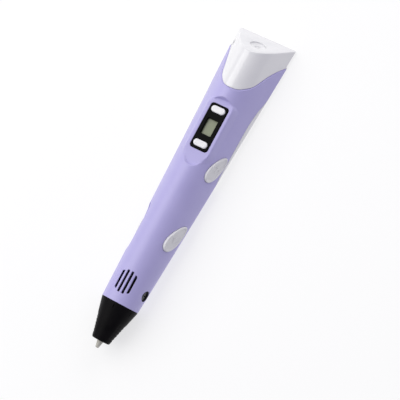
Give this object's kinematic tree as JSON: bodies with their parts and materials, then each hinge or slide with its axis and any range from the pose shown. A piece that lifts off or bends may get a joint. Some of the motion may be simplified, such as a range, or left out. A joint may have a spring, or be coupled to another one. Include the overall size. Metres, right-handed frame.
{
  "type": "three d pen",
  "caption": "Handheld three d drawing pen with a heated ceramic nozzle, display, push buttons, a speed slider, a motor driven filament feeder and a filament port in its slanted tail.",
  "frame": {"origin": "centre of the bounding box at the plane of the flat back the pen lies on", "axes": "+X from the nozzle to the tail, +Z out of the display, -Y out of the flank with the oval buttons"},
  "size_m": [0.184, 0.0336, 0.0208],
  "materials": {
    "lavender_plastic": "satin moulded",
    "white_plastic": "gloss moulded",
    "button_plastic": "semi-gloss moulded",
    "black_plastic": "satin moulded",
    "gloss_black_plastic": "gloss",
    "grey_nylon": "glass filled",
    "ceramic": "unglazed",
    "brass": "machined",
    "steel": "machined",
    "aluminium": "machined",
    "guide_tube": "slick",
    "lcd_glass": "clear over grey green",
    "circuit_board": "solder mask",
    "red_insulation": "smooth",
    "black_insulation": "smooth",
    "amber_insulation": "smooth"
  },
  "bodies": {
    "pen_body": {"arm_pivot_pin": "steel", "back_shell": "lavender_plastic", "case_screw_1": "steel", "case_screw_2": "steel", "case_screw_3": "steel", "case_screw_4": "steel", "controller_chip": "black_plastic", "display_bezel": "gloss_black_plastic", "driver_chip": "black_plastic", "end_cap": "white_plastic", "feed_port": "white_plastic", "feed_switch": "black_plastic", "feed_switch_board": "circuit_board", "feeder_frame": "grey_nylon", "front_shell": "lavender_plastic", "gearbox": "brass", "grip_nose": "black_plastic", "grip_screw": "steel", "heater_lead_1": "red_insulation", "heater_lead_2": "amber_insulation", "heater_sleeve": "aluminium", "hot_end_barrel": "steel", "hot_end_carrier": "grey_nylon", "idler_spring": "steel", "inlet_tube": "guide_tube", "lcd_module": "lcd_glass", "lower_switch": "black_plastic", "main_board": "circuit_board", "motor": "steel", "motor_lead_1": "red_insulation", "motor_lead_2": "black_insulation", "nozzle": "ceramic", "outlet_tube": "guide_tube", "power_jack": "black_plastic", "power_lead_1": "red_insulation", "power_lead_2": "black_insulation", "rear_trim": "white_plastic", "retract_switch": "black_plastic", "retract_switch_board": "circuit_board", "slide_potentiometer": "steel", "thermistor": "amber_insulation", "trim_screw_1": "steel", "trim_screw_2": "steel", "upper_switch": "black_plastic"},
    "upper_button": {"upper_button": "button_plastic"},
    "lower_button": {"lower_button": "button_plastic"},
    "feed_button": {"feed_button": "button_plastic"},
    "retract_button": {"retract_button": "button_plastic"},
    "speed_slider": {"speed_slider": "button_plastic", "slider_lever": "grey_nylon"},
    "feed_drive": {"drive_axle": "steel", "worm_wheel": "brass", "feed_roller": "steel"},
    "worm_drive": {"worm": "steel", "output_shaft": "steel"},
    "idler_arm": {"idler_arm": "grey_nylon", "idler_pin": "steel"},
    "idler_bearing": {"idler_bearing": "steel"}
  },
  "joints": [
    {"name": "upper_button_press", "type": "slide", "parent": "pen_body", "child": "upper_button", "axis": [0, 0, -1], "range_m": [0, 0.0004], "stiffness_N_per_m": 4000},
    {"name": "lower_button_press", "type": "slide", "parent": "pen_body", "child": "lower_button", "axis": [0, 0, -1], "range_m": [0, 0.0004], "stiffness_N_per_m": 4000},
    {"name": "feed_button_press", "type": "slide", "parent": "pen_body", "child": "feed_button", "axis": [0.0055, 0.8889, -0.4581], "range_m": [0, 0.0006], "stiffness_N_per_m": 3000},
    {"name": "retract_button_press", "type": "slide", "parent": "pen_body", "child": "retract_button", "axis": [0.0049, 0.8815, -0.4721], "range_m": [0, 0.0006], "stiffness_N_per_m": 3000},
    {"name": "speed_slide", "type": "slide", "parent": "pen_body", "child": "speed_slider", "axis": [0.9997, 0.0113, 0.023], "range_m": [-0.0075, 0.0075]},
    {"name": "worm_spin", "type": "hinge", "parent": "pen_body", "child": "worm_drive", "pos_m": [-0.0026, 0.0059, 0.0069], "axis": [1, 0, 0], "continuous": true},
    {"name": "feed_drive_spin", "type": "hinge", "parent": "pen_body", "child": "feed_drive", "pos_m": [-0.0026, 0.0013, 0.0101], "axis": [0, 0, 1], "continuous": true},
    {"name": "idler_arm_swing", "type": "hinge", "parent": "pen_body", "child": "idler_arm", "pos_m": [0.0027, -0.0064, 0.0101], "axis": [0, 0, 1], "range_deg": [0, 2.5], "stiffness_Nm_per_rad": 0.5},
    {"name": "idler_bearing_spin", "type": "hinge", "parent": "idler_arm", "child": "idler_bearing", "pos_m": [-0.0026, -0.00588, 0.0101], "axis": [0, 0, 1], "continuous": true}
  ],
  "couplings": [
    {"joint": "feed_drive_spin", "follows": "worm_spin", "ratio": 0.083333},
    {"joint": "idler_bearing_spin", "follows": "worm_spin", "ratio": -0.077381}
  ]
}
